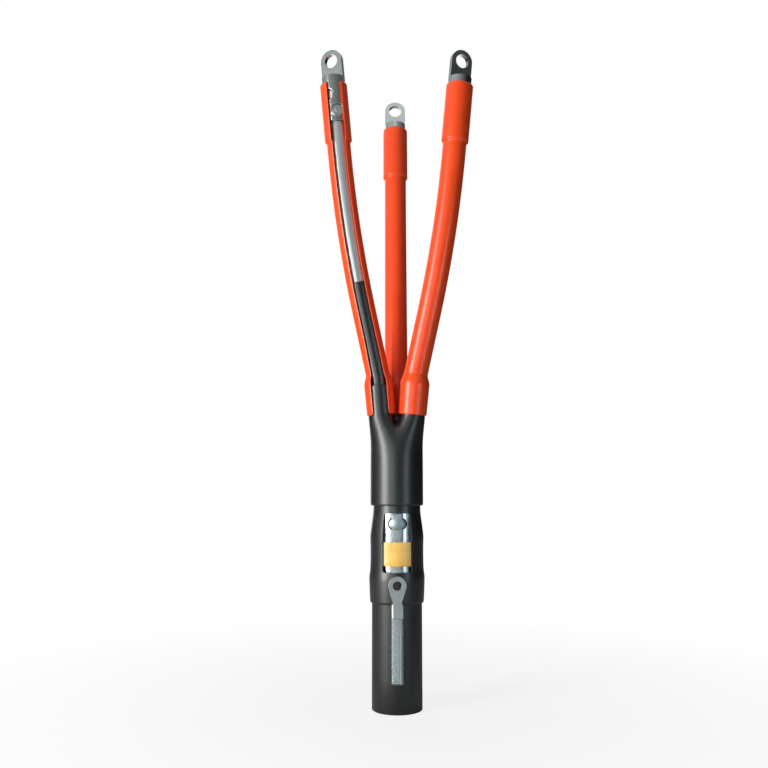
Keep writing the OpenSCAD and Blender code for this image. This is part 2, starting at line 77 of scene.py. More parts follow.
# Route of a core: length and change of lean of each stretch
CORE_OFFSET = 13.5
FINGER_LEAN, SPLAY_LEAN, HEAD_LEAN = 5.6, 14.16, 6.06
ROUTE = [
    (247.0, 0.0),
    (300.0 * math.radians(FINGER_LEAN), FINGER_LEAN),
    (115.7, 0.0),
    (60.0 * math.radians(SPLAY_LEAN - FINGER_LEAN), SPLAY_LEAN - FINGER_LEAN),
    (72.7, 0.0),
    (1466.0 * math.radians(SPLAY_LEAN - HEAD_LEAN), HEAD_LEAN - SPLAY_LEAN),
    (124.0, 0.0),
]
KNOTS = [0.0]
for stretch_len, _ in ROUTE:
    KNOTS.append(KNOTS[-1] + stretch_len)
BEND_LOW, BEND_TOP = KNOTS[3], KNOTS[4]
CURVE_LOW, HEAD_LOW = KNOTS[5], KNOTS[6]
BARREL_LEN = 57.6
BARREL_RIM = KNOTS[7] - 36.0
BARREL_LOW = BARREL_RIM - BARREL_LEN
COLLAR_END = BARREL_RIM - 9.0
FOOT_LOW = BEND_LOW - 44.1
FOOT_TOP = BEND_LOW - 7.5
FLARE_TOP = BEND_LOW + 8.0
SKIN_STEP_LOW, SKIN_STEP_TOP = HEAD_LOW + 4.6, HEAD_LOW + 8.2
BORE_STEP_LOW, BORE_STEP_TOP = HEAD_LOW + 3.5, HEAD_LOW + 8.0
STEP_END = HEAD_LOW + 10.0
LIP_LOW = COLLAR_END - 2.2


def core_point(s):
    """Radius, height and lean of the core's middle after path length s."""
    radius, height, lean = CORE_OFFSET, 0.0, 0.0
    for i, (length, turn) in enumerate(ROUTE):
        last = i == len(ROUTE) - 1
        part = s if last else min(s, length)
        bend = math.radians(turn) * part / length
        start = math.radians(lean)
        if turn == 0.0:
            radius += part * math.sin(start)
            height += part * math.cos(start)
        else:
            bend_r = length / math.radians(turn)
            radius += bend_r * (math.cos(start) - math.cos(start + bend))
            height += bend_r * (math.sin(start + bend) - math.sin(start))
        lean = math.degrees(start + bend)
        s -= part
        if s <= 0.0:
            break
    return radius, height, lean


def core_place(azimuth, s):
    """Frame on a core's middle, with Z along the core and X outwards."""
    radius, height, lean = core_point(s)
    turn = Matrix.Rotation(math.radians(azimuth), 4, "Z")
    tilt = Matrix.Rotation(math.radians(lean), 4, "Y")
    return turn @ Matrix.Translation((radius, 0.0, height)) @ tilt


def steps(low, high, size):
    """Values from low to high, no further apart than size."""
    count = max(1, math.ceil((high - low) / size))
    return [low + (high - low) * i / count for i in range(count + 1)]


def ease(t):
    """Smooth step from 0 to 1."""
    return t * t * (3.0 - 2.0 * t)


def eased(s, low, high, first, last):
    """Value that goes smoothly from first to last while s goes from low to high."""
    return first + (last - first) * ease((s - low) / (high - low))


# Materials


def new_material(name):
    material = bpy.data.materials.new(name)
    material.use_nodes = True
    tree = material.node_tree
    shader = tree.nodes["Principled BSDF"]
    coords = tree.nodes.new("ShaderNodeTexCoord")
    return material, tree, shader, coords


def mapped(tree, coords, scale):
    mapping = tree.nodes.new("ShaderNodeMapping")
    mapping.inputs["Scale"].default_value = scale
    tree.links.new(coords.outputs["Object"], mapping.inputs["Vector"])
    return mapping.outputs["Vector"]


def noise(tree, vector, scale, detail=3.0, rough=0.5):
    node = tree.nodes.new("ShaderNodeTexNoise")
    node.inputs["Scale"].default_value = scale
    node.inputs["Detail"].default_value = detail
    node.inputs["Roughness"].default_value = rough
    tree.links.new(vector, node.inputs["Vector"])
    return node.outputs["Fac"]


def ranged(tree, value, low, high, from_low=0.3, from_high=0.7):
    node = tree.nodes.new("ShaderNodeMapRange")
    node.inputs["From Min"].default_value = from_low
    node.inputs["From Max"].default_value = from_high
    node.inputs["To Min"].default_value = low
    node.inputs["To Max"].default_value = high
    tree.links.new(value, node.inputs["Value"])
    return node.outputs["Result"]


def ramp(tree, value, stops):
    node = tree.nodes.new("ShaderNodeValToRGB")
    while len(node.color_ramp.elements) < len(stops):
        node.color_ramp.elements.new(0.5)
    for element, (place, colour) in zip(node.color_ramp.elements, stops):
        element.position = place
        element.color = (*colour, 1.0)
    tree.links.new(value, node.inputs["Fac"])
    return node.outputs["Color"]


def bumped(tree, shader, value, strength, distance):
    node = tree.nodes.new("ShaderNodeBump")
    node.inputs["Strength"].default_value = strength
    node.inputs["Distance"].default_value = distance
    tree.links.new(value, node.inputs["Height"])
    tree.links.new(node.outputs["Normal"], shader.inputs["Normal"])


def calculated(tree, operation, first, second):
    """Result of arithmetic on two values; a number is set on the socket itself."""
    node = tree.nodes.new("ShaderNodeMath")
    node.operation = operation
    for socket, value in zip(node.inputs, (first, second)):
        if isinstance(value, float):
            socket.default_value = value
        else:
            tree.links.new(value, socket)
    return node.outputs["Value"]


def skin(name, dark, light, rough, grain=(1.0, 1.0, 1.0), size=90.0, bump=0.05, depth=0.0002,
         metal=0.0, gloss=0.5):
    """Finish with a soft colour change, uneven gloss and a fine grain."""
    material, tree, shader, coords = new_material(name)
    vector = mapped(tree, coords, grain)
    broad = noise(tree, vector, size * 0.35)
    fine = noise(tree, vector, size * 6.0, 4.0, 0.6)
    colour = ramp(tree, broad, [(0.3, dark), (0.7, light)])
    tree.links.new(colour, shader.inputs["Base Color"])
    tree.links.new(ranged(tree, fine, *rough), shader.inputs["Roughness"])
    bumped(tree, shader, fine, bump, depth)
    shader.inputs["Metallic"].default_value = metal
    shader.inputs["Specular IOR Level"].default_value = gloss
    return material


def turned_metal(name, dark, light, rough, ring_scale):
    """Bright metal with the fine rings a lathe leaves."""
    material, tree, shader, coords = new_material(name)
    vector = mapped(tree, coords, (1.0, 1.0, ring_scale))
    fine = noise(tree, vector, 60.0, 5.0, 0.65)
    broad = noise(tree, mapped(tree, coords, (1.0, 1.0, 1.0)), 45.0)
    tree.links.new(ramp(tree, broad, [(0.25, dark), (0.75, light)]), shader.inputs["Base Color"])
    tree.links.new(ranged(tree, fine, *rough), shader.inputs["Roughness"])
    bumped(tree, shader, fine, 0.004, 0.00003)
    shader.inputs["Metallic"].default_value = 1.0
    return material


def ribbon_metal(name, dark, light, rough, wires):
    """Tinned wires side by side along a ribbon, which its own map tells across and along."""
    material, tree, shader, coords = new_material(name)
    parts = tree.nodes.new("ShaderNodeSeparateXYZ")
    tree.links.new(coords.outputs["UV"], parts.inputs[0])
    turns = calculated(tree, "MULTIPLY", parts.outputs["X"], 2.0 * math.pi * wires)
    crest = calculated(tree, "SINE", turns, 0.0)
    spots = noise(tree, mapped(tree, coords, (1.0, 1.0, 1.0)), 420.0)
    tree.links.new(ramp(tree, spots, [(0.3, dark), (0.7, light)]), shader.inputs["Base Color"])
    tree.links.new(ranged(tree, spots, *rough), shader.inputs["Roughness"])
    bumped(tree, shader, crest, 0.5, 0.0001)
    shader.inputs["Metallic"].default_value = 1.0
    return material


TUBE_RED = skin("tube_red", (0.8, 0.058, 0.006), (0.87, 0.07, 0.009), (0.28, 0.36),
                size=70.0, bump=0.06, depth=0.0002, gloss=0.5)
RUBBER_BLACK = skin("rubber_black", (0.002, 0.0025, 0.003), (0.004, 0.0045, 0.005), (0.34, 0.42),
                    size=60.0, bump=0.1, depth=0.0003, gloss=0.7)
SHEATH_BLACK = skin("sheath_black", (0.003, 0.003, 0.003), (0.006, 0.006, 0.006), (0.4, 0.5),
                    grain=(1.0, 1.0, 0.15), size=110.0, bump=0.12, depth=0.0002, gloss=0.6)
STRESS_BLACK = skin("stress_black", (0.003, 0.0035, 0.0035), (0.005, 0.006, 0.006), (0.3, 0.38),
                    size=80.0, bump=0.06, depth=0.0002, gloss=0.8)
SCREEN_BLACK = skin("screen_black", (0.012, 0.012, 0.012), (0.02, 0.02, 0.02), (0.5, 0.6))
FILLER_DARK = skin("filler_dark", (0.03, 0.03, 0.03), (0.06, 0.06, 0.058), (0.6, 0.75),
                   size=140.0, bump=0.3)
INSULATION_PALE = skin("insulation_pale", (0.45, 0.48, 0.48), (0.47, 0.5, 0.5), (0.3, 0.33),
                       size=8.0, bump=0.002, depth=0.0001, metal=0.6, gloss=0.6)
MASTIC_YELLOW = skin("mastic_yellow", (0.8, 0.44, 0.07), (0.9, 0.57, 0.17), (0.3, 0.38),
                     grain=(1.0, 1.0, 2.5), size=90.0, bump=0.12, depth=0.0004)
LUG_METAL = turned_metal("lug_metal", (0.41, 0.45, 0.45), (0.45, 0.49, 0.49), (0.185, 0.195), 14.0)
BOLT_METAL = turned_metal("bolt_metal", (0.47, 0.51, 0.51), (0.55, 0.59, 0.59), (0.38, 0.42), 3.0)
CONDUCTOR_METAL = turned_metal("conductor_metal", (0.6, 0.61, 0.62), (0.72, 0.73, 0.74), (0.3, 0.42), 2.0)
SHEATH_METAL = turned_metal("sheath_metal", (0.36, 0.38, 0.38), (0.58, 0.6, 0.6), (0.2, 0.32), 0.4)
BRAID_METAL = ribbon_metal("braid_metal", (0.28, 0.32, 0.33), (0.4, 0.44, 0.45), (0.34, 0.44), 4.0)
SOLDER_METAL = skin("solder_metal", (0.3, 0.37, 0.37), (0.4, 0.46, 0.46), (0.46, 0.54),
                    size=240.0, bump=0.05, depth=0.0002, metal=1.0)
EARTH_LUG_METAL = turned_metal("earth_lug_metal", (0.48, 0.53, 0.53), (0.6, 0.65, 0.65), (0.26, 0.32), 1.0)

NODE_FINISH = {
    "tube_red": TUBE_RED,
    "rubber_black": RUBBER_BLACK,
    "sheath_black": SHEATH_BLACK,
    "stress_black": STRESS_BLACK,
    "insulation_pale": INSULATION_PALE,
    "screen_black": SCREEN_BLACK,
    "filler_dark": FILLER_DARK,
    "lug_metal": LUG_METAL,
    "bolt_metal": BOLT_METAL,
    "conductor_metal": CONDUCTOR_METAL,
    "sheath_metal": SHEATH_METAL,
    "braid_metal": BRAID_METAL,
    "solder_metal": SOLDER_METAL,
    "earth_lug_metal": EARTH_LUG_METAL,
    "mastic_yellow": MASTIC_YELLOW,
}
for subpart in frame["record"]["subparts"]:
    node_mesh = frame["nodes"][subpart["node"]].data
    node_mesh.materials.clear()
    node_mesh.materials.append(NODE_FINISH[subpart["material_slot"]])


# Pieces


def piece(bm, name, slot, *nodes, sharp=35.0):
    """Turns a shape into a piece that rides on the part and stands for its nodes."""
    bmesh.ops.scale(bm, vec=(MM, MM, MM), verts=bm.verts)
    mesh = bpy.data.meshes.new(name)
    bm.to_mesh(mesh)
    bm.free()
    for face in mesh.polygons:
        face.use_smooth = True
    mesh.set_sharp_from_angle(angle=math.radians(sharp))
    mesh.materials.append(NODE_FINISH[slot])
    made = bpy.data.objects.new(name, mesh)
    bpy.context.scene.collection.objects.link(made)
    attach(made, ROOT)
    if nodes:
        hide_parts(*nodes)
    return made


def ring_edges(verts):
    inside = set(verts)
    return [e for e in {e for v in verts for e in v.link_edges} if set(e.verts) <= inside]


def grow(bm, edges):
    """Extrudes a loop of edges and gives the new loop."""
    made = bmesh.ops.extrude_edge_only(bm, edges=edges)["geom"]
    verts = [g for g in made if isinstance(g, bmesh.types.BMVert)]
    new = set(verts)
    return verts, [g for g in made if isinstance(g, bmesh.types.BMEdge) and set(g.verts) <= new]


def sweep(bm, place, stations, sides=64, join=True):
    """Carries a ring through stations of [path length, radius]; join closes it to its start."""
    first, radius = stations[0]
    before = place(first)
    verts = bmesh.ops.create_circle(bm, segments=sides, radius=radius, matrix=before)["verts"]
    edges = start = ring_edges(verts)
    for s, next_radius in stations[1:]:
        verts, edges = grow(bm, edges)
        after = place(s)
        wider = Matrix.Diagonal((next_radius / radius, next_radius / radius, 1.0, 1.0))
        bmesh.ops.transform(bm, matrix=after @ wider @ before.inverted(), verts=verts)
        before, radius = after, next_radius
    if join:
        bmesh.ops.bridge_loops(bm, edges=edges + start)
    return start, edges


def upright(s):
    return Matrix.Translation((0.0, 0.0, s))


def tidy(bm):
    bmesh.ops.remove_doubles(bm, verts=bm.verts, dist=0.0005)
    bmesh.ops.recalc_face_normals(bm, faces=bm.faces)


def outer_radius(s):
    """Radius of an outer tube's skin at path length s."""
    if s < FOOT_TOP:
        return FOOT_R - FOOT_TAPER * (FOOT_TOP - s) / (FOOT_TOP - FOOT_LOW)
    if s < FLARE_TOP:
        return eased(s, FOOT_TOP, FLARE_TOP, FOOT_R, TUBE_R)
    if s < SKIN_STEP_LOW:
        return TUBE_R
    if s < SKIN_STEP_TOP:
        return eased(s, SKIN_STEP_LOW, SKIN_STEP_TOP, TUBE_R, COLLAR_R)
    return COLLAR_R


def inner_radius(s):
    """Radius of an outer tube's bore at path length s."""
    if s < FOOT_TOP:
        return FOOT_BORE_R
    if s < FLARE_TOP:
        return eased(s, FOOT_TOP, FLARE_TOP, FOOT_BORE_R, TUBE_BORE_R)
    if s < BORE_STEP_LOW:
        return TUBE_BORE_R
    if s < BORE_STEP_TOP:
        return eased(s, BORE_STEP_LOW, BORE_STEP_TOP, TUBE_BORE_R, COLLAR_BORE_R)
    return COLLAR_BORE_R


LIP_ROUND = 1.8
FOOT_ROUND = 0.7
# The middle of a rounded edge lies this share of its width below the two faces
EDGE_SHARE = 0.3
# Cut of the opened tube: its lower corners, its edges and the runs over which it widens
CORNER_RISE, CORNER_OPENING = 4.0, 9.5
CUT_EDGE = 0.5
FOOT_CUT_RUN, HEAD_CUT_RUN = 45.0, 60.0
LARGEST_SINE = 0.9
CUT_TUBE_SIDES = 58


def tube_stations():
    """Path lengths that show a tube's foot, bends and collar."""
    marks = steps(FOOT_LOW + FOOT_ROUND, FOOT_LOW + CORNER_RISE, 0.5)[1:]
    marks += steps(FOOT_LOW + CORNER_RISE, FOOT_TOP, 8.0)[1:-1]
    marks += steps(FOOT_TOP, BEND_LOW, 0.8)[:-1]
    marks += steps(BEND_LOW, BEND_TOP, 0.9)[:-1]
    marks += steps(BEND_TOP, CURVE_LOW, 18.0)[:-1]
    marks += steps(CURVE_LOW, HEAD_LOW, 9.0)[:-1]
    marks += steps(HEAD_LOW, STEP_END, 0.75)
    marks += steps(STEP_END, LIP_LOW, 12.0)[1:]
    return marks


def tube_skin():
    """Stations up a tube's outside, with its two rounded edges."""
    foot_r = outer_radius(FOOT_LOW)
    low = [
        (FOOT_LOW + FOOT_ROUND * (1.0 - math.cos(a)), foot_r - FOOT_ROUND * (1.0 - math.sin(a)))
        for a in (0.0, 0.5, 1.05, math.pi / 2.0)
    ]
    top = [
        (COLLAR_END - LIP_ROUND * (1.0 - math.sin(a)), COLLAR_R - LIP_ROUND * (1.0 - math.cos(a)))
        for a in (0.0, 0.3, 0.6, 0.9, 1.2, math.pi / 2.0)
    ]
    return low + [(s, outer_radius(s)) for s in tube_stations()] + top


def closed_tube(name, azimuth, node):
    bm = bmesh.new()
    inner = [(s, inner_radius(s)) for s in reversed(tube_stations())]
    stations = tube_skin() + [(COLLAR_END, COLLAR_BORE_R)] + inner + [(FOOT_LOW, FOOT_BORE_R)]
    sweep(bm, lambda s: core_place(azimuth, s), stations)
    tidy(bm)
    piece(bm, name, "tube_red", node, sharp=50.0)


def opened_tube(name, azimuth, node):
    """Tube with a strip cut out of it along its whole length."""
    bm = bmesh.new()
    wider_below = BEND_TOP + FOOT_CUT_RUN
    wider_above = HEAD_LOW - HEAD_CUT_RUN

    def cut_at(s):
        """Middle and half width of the cut, which is wider at the foot and at the head."""
        rise = min(1.0, (s - FOOT_LOW) / CORNER_RISE)
        lower_corner = CORNER_OPENING * (1.0 - math.sqrt(max(0.0, 1.0 - (1.0 - rise) ** 2)))
        low = ease(min(1.0, max(0.0, (wider_below - s) / (wider_below - BEND_LOW))))
        high = ease(min(1.0, max(0.0, (s - wider_above) / (HEAD_LOW - wider_above))))
        half = CUT_HALF + lower_corner + low * FOOT_CUT_WIDER + high * HEAD_CUT_WIDER
        return CUT_TURN - low * FOOT_CUT_WIDER, half

    def section(s, skin_r):
        bore_r = inner_radius(s)
        middle, half = (math.radians(angle) for angle in cut_at(s))
        # The cut's two faces are parallel, so the bore is opened by a wider angle than the skin
        half_in = math.asin(min(LARGEST_SINE, skin_r * math.sin(half) / bore_r))
        round_out = CUT_EDGE / skin_r
        round_in = CUT_EDGE / bore_r
        sunk = CUT_EDGE * EDGE_SHARE
        points = []
        for i in range(CUT_TUBE_SIDES + 1):
            whole = 2.0 * math.pi - 2.0 * half - 2.0 * round_out
            points.append((skin_r, middle + half + round_out + whole * i / CUT_TUBE_SIDES))
        points.append((skin_r - sunk, middle - half - round_out * EDGE_SHARE))
        points.append((skin_r - CUT_EDGE, middle - half))
        points.append((bore_r + CUT_EDGE, middle - half_in))
        points.append((bore_r + sunk, middle - half_in - round_in * EDGE_SHARE))
        for i in range(CUT_TUBE_SIDES + 1):
            whole = 2.0 * math.pi - 2.0 * half_in - 2.0 * round_in
            points.append((bore_r, middle - half_in - round_in - whole * i / CUT_TUBE_SIDES))
        points.append((bore_r + sunk, middle + half_in + round_in * EDGE_SHARE))
        points.append((bore_r + CUT_EDGE, middle + half_in))
        points.append((skin_r - CUT_EDGE, middle + half))
        points.append((skin_r - sunk, middle + half + round_out * EDGE_SHARE))
        place = core_place(azimuth, s)
        return [place @ Vector((r * math.cos(a), r * math.sin(a), 0.0)) for r, a in points]

    rings = [section(s, r) for s, r in tube_skin()]
    verts = bmesh.ops.create_circle(bm, segments=len(rings[0]), radius=1.0)["verts"]
    for v, place in zip(verts, rings[0]):
        v.co = place
    edges = ring_edges(verts)
    bmesh.ops.contextual_create(bm, geom=edges)
    for ring in rings[1:]:
        follows = {v: i for i, v in enumerate(verts)}
        new_verts, new_edges = grow(bm, edges)
        ordered = [None] * len(ring)
        for v in new_verts:
            old = next(e.other_vert(v) for e in v.link_edges if e.other_vert(v) in follows)
            ordered[follows[old]] = v
        for v, place in zip(ordered, ring):
            v.co = place
        verts, edges = ordered, new_edges
    bmesh.ops.contextual_create(bm, geom=edges)
    tidy(bm)
    piece(bm, name, "tube_red", node, sharp=50.0)


opened_tube("cut_outer_tube", LEFT, "outer_tube_left")
closed_tube("right_outer_tube", RIGHT, "outer_tube_right")
closed_tube("rear_outer_tube", REAR, "outer_tube_rear")


def core_layer(name, slot, node, low, high, outer_r, bore_r, edge):
    """Smooth layer of the opened core."""
    bm = bmesh.new()
    marks = sorted({low + edge, high - edge} | {k for k in KNOTS if low + 1.0 < k < high - 1.0})
    fine = []
    for a, b in zip(marks, marks[1:]):
        fine += steps(a, b, 6.0)[:-1]
    fine.append(marks[-1])
    outside = [(low, outer_r - edge)] + [(s, outer_r) for s in fine]
    outside += [(high - EDGE_SHARE * edge, outer_r - EDGE_SHARE * edge), (high, outer_r - edge)]
    inside = [(high, bore_r)] + [(s, bore_r) for s in reversed(fine)] + [(low, bore_r)]
    sweep(bm, lambda s: core_place(LEFT, s), outside + inside)
    tidy(bm)
    piece(bm, name, slot, node, sharp=60.0)


core_layer("opened_core_insulation", "insulation_pale", "insulation_left",
           0.0, BARREL_LOW - CLEARANCE, INSULATION_R, CONDUCTOR_BORE_R, 0.4)
core_layer("opened_core_stress_tube", "stress_black", "stress_tube_left",
           STRESS_LOW, STRESS_TOP, STRESS_R, SCREEN_BORE_R, 0.25)


FINGER_BORE_R = 11.9
FINGER_TURNS = (-90.0, -45.0, 0.0, 45.0, 90.0, 135.0, 180.0, 225.0)
FINGER_LEVELS = [
    (344.0, 15.8), (349.0, 15.35), (354.0, FINGER_R), (366.0, FINGER_R), (382.8, FINGER_R),
    (384.2, FINGER_R - 0.4), (384.2, 12.2), (382.8, FINGER_BORE_R), (350.0, FINGER_BORE_R),
]
BREAKOUT_SIDES = 12
BREAKOUT_R, BREAKOUT_BORE_R, BREAKOUT_LOW = 32.0, 28.7, 238.0
# Body rings, from the room inside round the lower edge to just below the parting
BREAKOUT_RINGS = [
    *[(z, BREAKOUT_BORE_R) for z in (286.0, 284.0, 262.0, 239.0)],
    (BREAKOUT_LOW, 29.2), (BREAKOUT_LOW, 31.2),
    *[(z, BREAKOUT_R) for z in (238.8, 244.0, 270.0, 298.0)],
]
# Reach and height of the shoulder, by the angle from the nearest finger
SHOULDER = {0: (34.2, 316.0), 30: (33.3, 317.5), 60: (30.4, 320.0)}
CROTCH_Z = 341.0
SADDLE_R, SADDLE_Z = 16.2, 336.0


def cage_growth(sides):
    """How much wider a cage of few sides has to be for its smoothed form to keep its radius."""
    return 3.0 / (2.0 + math.cos(2.0 * math.pi / sides))


def breakout():
    """Body that parts into fingers with smooth saddles between them."""
    bm = bmesh.new()
    body = [(z, r * cage_growth(BREAKOUT_SIDES)) for z, r in BREAKOUT_RINGS]
    start, edges = sweep(bm, upright, body, sides=BREAKOUT_SIDES, join=False)
    bmesh.ops.contextual_create(bm, geom=start)
    shoulder, _ = grow(bm, edges)
    around = {}
    for v in shoulder:
        azimuth = round(math.degrees(math.atan2(v.co.y, v.co.x)) / 30.0) * 30 % 360
        around[azimuth] = v
        toward = min(abs((azimuth - a + 180) % 360 - 180) for a in (LEFT, RIGHT, REAR))
        reach, height = SHOULDER[round(toward)]
        angle = math.radians(azimuth)
        v.co = (reach * math.cos(angle), reach * math.sin(angle), height)
    middle = bmesh.ops.create_vert(bm, co=(0.0, 0.0, CROTCH_Z))["vert"][0]
    saddles = {}
    for azimuth in (30, 150, 270):
        angle = math.radians(azimuth)
        saddle = (SADDLE_R * math.cos(angle), SADDLE_R * math.sin(angle), SADDLE_Z)
        saddles[azimuth] = bmesh.ops.create_vert(bm, co=saddle)["vert"][0]
    for azimuth in (90, 210, 330):
        loop = [around[(azimuth + d) % 360] for d in (-60, -30, 0, 30, 60)]
        loop += [saddles[(azimuth + 60) % 360], middle, saddles[(azimuth - 60) % 360]]
        turns = dict(zip(loop, FINGER_TURNS))
        face = bmesh.ops.contextual_create(bm, geom=loop)["faces"][0]
        for s, radius in FINGER_LEVELS:
            order = [turns[v] for v in face.verts]
            face = bmesh.ops.extrude_discrete_faces(bm, faces=[face])["faces"][0]
            turns = dict(zip(face.verts, order))
            place = core_place(azimuth, s)
            for v, turn in turns.items():
                angle = math.radians(turn)
                wide = radius * cage_growth(len(FINGER_TURNS))
                v.co = place @ Vector((wide * math.cos(angle), wide * math.sin(angle), 0.0))
    bmesh.ops.recalc_face_normals(bm, faces=bm.faces)
    made = piece(bm, "fingered_breakout", "rubber_black", "breakout", sharp=180.0)
    smooth = made.modifiers.new("smooth", "SUBSURF")
    smooth.levels = smooth.render_levels = 3


breakout()

COVER_SKIN = [
    (123.3, 31.2), (123.7, 31.8), (124.6, 32.2), (126.5, 32.3), (134.0, 32.7), (144.0, 33.1),
    (150.0, 33.3), (153.0, 33.3), (156.0, 33.05), (158.0, 32.75), (160.5, 32.4), (163.0, 32.2),
    (167.0, 32.0), (172.0, 31.9), (181.0, 31.8), (188.0, 31.85), (193.0, 32.0), (197.0, 32.15),
    (200.0, 32.2), (203.0, 32.05), (206.5, 31.7), (210.0, 31.2), (215.0, 30.55), (220.0, 29.9),
    (225.0, 29.2), (229.0, 28.7), (232.0, 28.5), (258.0, 28.5),
]
WINDOW_LOW, WINDOW_TOP, WINDOW_HALF = 160.4, 229.0, 33.2
WINDOW_ROUND = 3.0
SHEATH_ROOM_END, MASTIC_ROOM_END, MASTIC_ROOM_R = SHEATH_END + 1.0, 196.5, 30.0


def cover_bore(z):
    """Radius of the cover's bore over the cable, the mastic and the metal sheath."""
    if z < SHEATH_ROOM_END:
        return CABLE_R + CLEARANCE
    if z < MASTIC_ROOM_END:
        return MASTIC_ROOM_R
    return METAL_R + CLEARANCE


def split(bm, point, direction, near):
    """Cuts the faces that lie near along a plane."""
    faces = [f for f in bm.faces if near(f.calc_center_median())]
    geom = list({v for f in faces for v in f.verts}) + list({e for f in faces for e in f.edges}) + faces
    bmesh.ops.bisect_plane(bm, geom=geom, plane_co=point, plane_no=direction)


def cover_sleeve():
    """Shrunk sleeve with a window that has rounded corners."""
    bm = bmesh.new()
    sweep(bm, upright, COVER_SKIN, sides=90, join=False)
    tidy(bm)
    # Planes that bound the window: its ends, its sides and the short cuts that round each corner
    bounds = [((0.0, 0.0, WINDOW_LOW), Vector((0.0, 0.0, -1.0)), None),
              ((0.0, 0.0, WINDOW_TOP), Vector((0.0, 0.0, 1.0)), None)]
    for side in (-1.0, 1.0):
        half = math.radians(WINDOW_HALF)
        sideways = Vector((side * math.cos(half), math.sin(half), 0.0))
        bounds.append(((0.0, 0.0, 0.0), sideways, None))
        for end, up in ((WINDOW_LOW, -1.0), (WINDOW_TOP, 1.0)):
            reach = next(r for z, r in COVER_SKIN if z >= end)
            corner = Vector((side * reach * math.sin(half), -reach * math.cos(half), end))
            centre = corner - WINDOW_ROUND * (sideways + Vector((0.0, 0.0, up)))
            for lean in (11.0, 33.0, 57.0, 79.0):
                angle = math.radians(lean)
                direction = math.cos(angle) * sideways + math.sin(angle) * Vector((0.0, 0.0, up))
                bounds.append((centre + WINDOW_ROUND * direction, direction, corner))
    for point, direction, corner in bounds:
        if corner is None:
            split(bm, point, direction, lambda c: c.y < 0.0)
        else:
            split(bm, point, direction, lambda c: (c - corner).length < 3.0 * WINDOW_ROUND)
    opened = []
    for f in bm.faces:
        c = f.calc_center_median()
        if c.y < 0.0 and all((c - Vector(point)).dot(direction) < 0.0 for point, direction, _ in bounds):
            opened.append(f)
    bmesh.ops.delete(bm, geom=opened, context="FACES")
    bmesh.ops.recalc_face_normals(bm, faces=bm.faces)
    made = bmesh.ops.extrude_face_region(bm, geom=bm.faces[:], use_keep_orig=True)["geom"]
    for v in (g for g in made if isinstance(g, bmesh.types.BMVert)):
        radius = math.hypot(v.co.x, v.co.y)
        inward = cover_bore(v.co.z) / radius
        v.co.x *= inward
        v.co.y *= inward
    bmesh.ops.recalc_face_normals(bm, faces=bm.faces)
    piece(bm, "window_cover_sleeve", "rubber_black", "cover_sleeve", sharp=40.0)


cover_sleeve()


def turned_shell(name, slot, node, skin_stations, bore_r):
    """Upright shell with a plain bore."""
    bm = bmesh.new()
    low, high = skin_stations[0][0], skin_stations[-1][0]
    sweep(bm, upright, skin_stations + [(high, bore_r), (low, bore_r)], sides=96)
    tidy(bm)
    piece(bm, name, slot, node, sharp=40.0)


turned_shell("cable_sheath", "sheath_black", "cable_outer_sheath",
             [(0.0, CABLE_R - 0.5), (0.2, CABLE_R - 0.2), (0.6, CABLE_R), (40.0, CABLE_R), (80.0, CABLE_R),
              (120.0, CABLE_R), (SHEATH_END - 0.6, CABLE_R), (SHEATH_END, CABLE_R - 0.6)],
             METAL_R + CLEARANCE)
turned_shell("bare_metal_sheath", "sheath_metal", "metal_sheath",
             [(0.0, METAL_R), (160.0, METAL_R), (200.0, METAL_R), (METAL_END - 0.4, METAL_R),
              (METAL_END, METAL_R - 0.4)], METAL_BORE_R)


BAND_LOW, BAND_TOP = 167.5, 195.5
BAND_R = 29.9
# Rounded edge of the band: distance from its end and depth below its skin
BAND_EDGE = [(0.0, 0.7), (0.25, 0.25), (0.9, 0.0)]
DENT_DEPTH = 0.05


def mastic_band():
    """Soft band pressed round the cable, a little uneven and with rounded edges."""
    bm = bmesh.new()
    skin_rings = [(BAND_LOW + rise, BAND_R - drop) for rise, drop in BAND_EDGE]
    skin_rings += [(z, BAND_R) for z in steps(BAND_LOW + 2.5, BAND_TOP - 2.5, 2.0)]
    skin_rings += [(BAND_TOP - rise, BAND_R - drop) for rise, drop in reversed(BAND_EDGE)]
    bore_r = METAL_R + CLEARANCE
    sweep(bm, upright, skin_rings + [(BAND_TOP, bore_r), (BAND_LOW, bore_r)], sides=120)
    tidy(bm)
    for v in bm.verts:
        reach = math.hypot(v.co.x, v.co.y)
        if reach < METAL_R + 1.0:
            continue
        turn = math.atan2(v.co.y, v.co.x)
        dent = math.sin(5.0 * turn + 0.31 * v.co.z) + math.sin(11.0 * turn - 0.47 * v.co.z)
        inward = 1.0 - DENT_DEPTH * (2.0 + dent) / reach
        v.co.x *= inward
        v.co.y *= inward
    piece(bm, "sealing_mastic_band", "mastic_yellow", "mastic_band", sharp=60.0)


mastic_band()


def wrapped(x, depth, z):
    """Place of something flat that lies round the cable's front, depth away from its axis."""
    return Vector((depth * math.sin(x / depth), -depth * math.cos(x / depth), z))


SOLDER_Z = 217.0
SOLDER_HALF_W, SOLDER_HALF_H = 11.4, 7.6
SOLDER_BASE, SOLDER_RISE = 26.6, 3.7
SOLDER_STEEP, SOLDER_RIPPLE = 0.75, 0.03
SOLDER_CUT = 0.3
# Rim of painted shade round the solder's foot: how much wider than the dome it reaches, and how high it
# rises
SHADE_RIM_WIDER, SHADE_RIM_RISE = 0.9, 2.9


